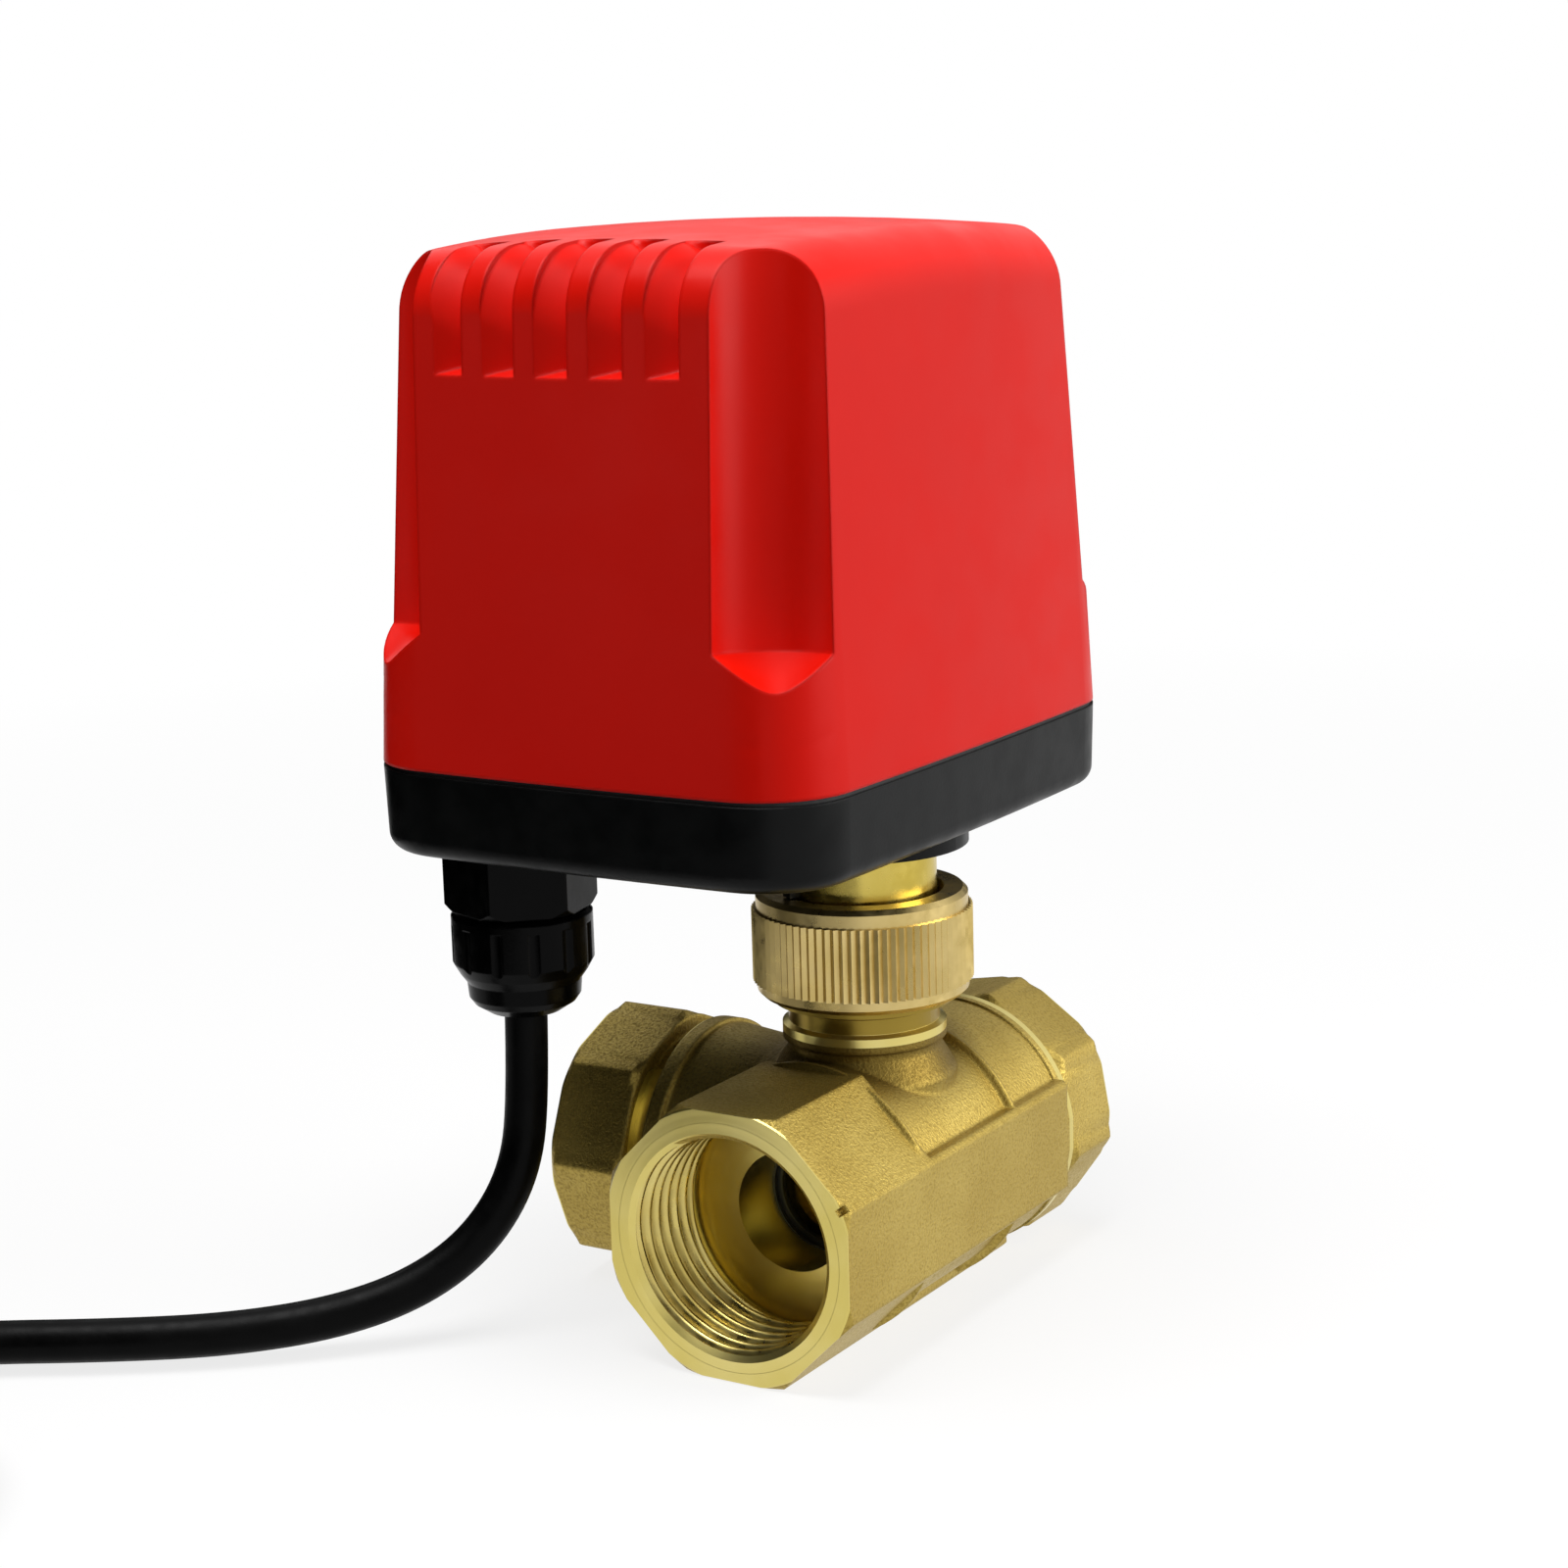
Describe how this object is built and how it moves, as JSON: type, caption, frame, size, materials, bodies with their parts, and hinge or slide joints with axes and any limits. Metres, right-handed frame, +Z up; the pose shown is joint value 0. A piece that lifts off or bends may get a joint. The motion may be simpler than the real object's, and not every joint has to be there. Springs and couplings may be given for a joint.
{
  "type": "motorized three-way ball valve",
  "caption": "Motorized three-way ball valve: brass T body with threaded ports, knurled union nut, red moulded actuator and a coiled black cable.",
  "frame": {"origin": "on the surface the valve stands on, straight below the stem axis", "axes": "+Z up along the stem, the straight run of the valve along Y with the front port at -Y, the branch port at -X"},
  "size_m": [0.1464, 0.2205, 0.1567],
  "materials": {
    "sand_blasted_brass": "matte",
    "turned_brass": "satin",
    "bronze_ball": "polished",
    "ptfe": "satin",
    "black_rubber": "matte",
    "bright_brass": "polished",
    "nickelled_brass": "satin",
    "zinc_plated_steel": "satin",
    "black_moulded_plastic": "satin",
    "red_moulded_plastic": "glossy",
    "sintered_bronze": "matte",
    "white_acetal": "satin",
    "hardened_steel": "satin",
    "motor_can_steel": "satin",
    "grey_moulded_plastic": "satin",
    "black_polyamide": "glossy",
    "black_cable_rubber": "satin",
    "brown_insulation": "satin",
    "blue_insulation": "satin",
    "green_yellow_insulation": "satin"
  },
  "bodies": {
    "valve": {"valve_body": "sand_blasted_brass", "far_connector": "turned_brass", "branch_connector": "turned_brass", "front_seat": "ptfe", "far_seat": "ptfe", "branch_seat": "ptfe", "stem_washer": "ptfe", "far_gasket": "black_rubber", "branch_gasket": "black_rubber", "cover_gasket": "black_rubber", "gland_seal": "black_rubber", "adapter_sleeve": "bright_brass", "sleeve_locknut": "zinc_plated_steel", "lower_plate": "zinc_plated_steel", "upper_plate": "zinc_plated_steel", "frame_spacers": "zinc_plated_steel", "frame_screws": "zinc_plated_steel", "cover_screws": "zinc_plated_steel", "motor_screws": "zinc_plated_steel", "switch_posts": "zinc_plated_steel", "idler_pin": "zinc_plated_steel", "terminal_screws": "zinc_plated_steel", "base_housing": "black_moulded_plastic", "locating_key": "black_moulded_plastic", "lower_switch": "black_moulded_plastic", "upper_switch": "black_moulded_plastic", "cover": "red_moulded_plastic", "lower_bush": "sintered_bronze", "upper_bush": "sintered_bronze", "motor": "motor_can_steel", "terminal_block": "grey_moulded_plastic", "gland_body": "black_polyamide", "gland_locknut": "black_polyamide", "cable_tie": "black_polyamide", "cable_lead": "black_cable_rubber", "cable_coil": "black_cable_rubber", "brown_core": "brown_insulation", "blue_core": "blue_insulation", "earth_core": "green_yellow_insulation"},
    "valve_drive": {"ball": "bronze_ball", "stem": "bright_brass", "stem_rings": "black_rubber", "drive_coupling": "zinc_plated_steel", "output_shaft": "zinc_plated_steel", "output_gear": "white_acetal", "lower_cam": "white_acetal", "upper_cam": "white_acetal"},
    "idler": {"idler_gear": "white_acetal"},
    "pinion": {"motor_pinion": "hardened_steel"},
    "lower_switch_lever": {"lower_lever": "zinc_plated_steel"},
    "upper_switch_lever": {"upper_lever": "zinc_plated_steel"},
    "lower_switch_button": {"lower_plunger": "white_acetal"},
    "upper_switch_button": {"upper_plunger": "white_acetal"},
    "union": {"union_nut": "nickelled_brass"},
    "clamping_cap": {"gland_cap": "black_polyamide"}
  },
  "joints": [
    {"name": "valve_turn", "type": "hinge", "parent": "valve", "child": "valve_drive", "pos_m": [0, 0, 0.01925], "axis": [0, 0, 1], "range_deg": [0, 90]},
    {"name": "idler_turn", "type": "hinge", "parent": "valve", "child": "idler", "pos_m": [-0.01749, 0.0097, 0.085], "axis": [0, 0, 1], "range_deg": [-285, 0]},
    {"name": "pinion_turn", "type": "hinge", "parent": "valve", "child": "pinion", "pos_m": [-0.03449, 0.01425, 0.09], "axis": [0, 0, 1], "range_deg": [0, 760]},
    {"name": "lower_lever_swing", "type": "hinge", "parent": "valve", "child": "lower_switch_lever", "pos_m": [-0.014, -0.00975, 0.0999], "axis": [0, 0, 1], "range_deg": [0, 6.2]},
    {"name": "upper_lever_swing", "type": "hinge", "parent": "valve", "child": "upper_switch_lever", "pos_m": [-0.014, -0.00975, 0.1063], "axis": [0, 0, 1], "range_deg": [-6.2, 0]},
    {"name": "lower_button_travel", "type": "slide", "parent": "valve", "child": "lower_switch_button", "axis": [0, 1, 0], "range_m": [0, 0.00054]},
    {"name": "upper_button_travel", "type": "slide", "parent": "valve", "child": "upper_switch_button", "axis": [0, 1, 0], "range_m": [-0.00054, 0]},
    {"name": "union_nut_turn", "type": "hinge", "parent": "valve", "child": "union", "pos_m": [0, 0, 0.0542], "axis": [0, 0, 1], "range_deg": [0, 360]},
    {"name": "gland_cap_turn", "type": "hinge", "parent": "valve", "child": "clamping_cap", "pos_m": [-0.0378, -0.031, 0.056], "axis": [0, 0, 1], "range_deg": [0, 360]}
  ],
  "couplings": [
    {"joint": "idler_turn", "follows": "valve_turn", "ratio": -3.1667},
    {"joint": "pinion_turn", "follows": "valve_turn", "ratio": 8.4444},
    {"joint": "lower_lever_swing", "follows": "valve_turn", "ratio": 0.06834},
    {"joint": "upper_lever_swing", "follows": "valve_turn", "ratio": -0.06834},
    {"joint": "lower_button_travel", "follows": "valve_turn", "m_per_rad": 0.00034105},
    {"joint": "upper_button_travel", "follows": "valve_turn", "m_per_rad": -0.00034105}
  ]
}
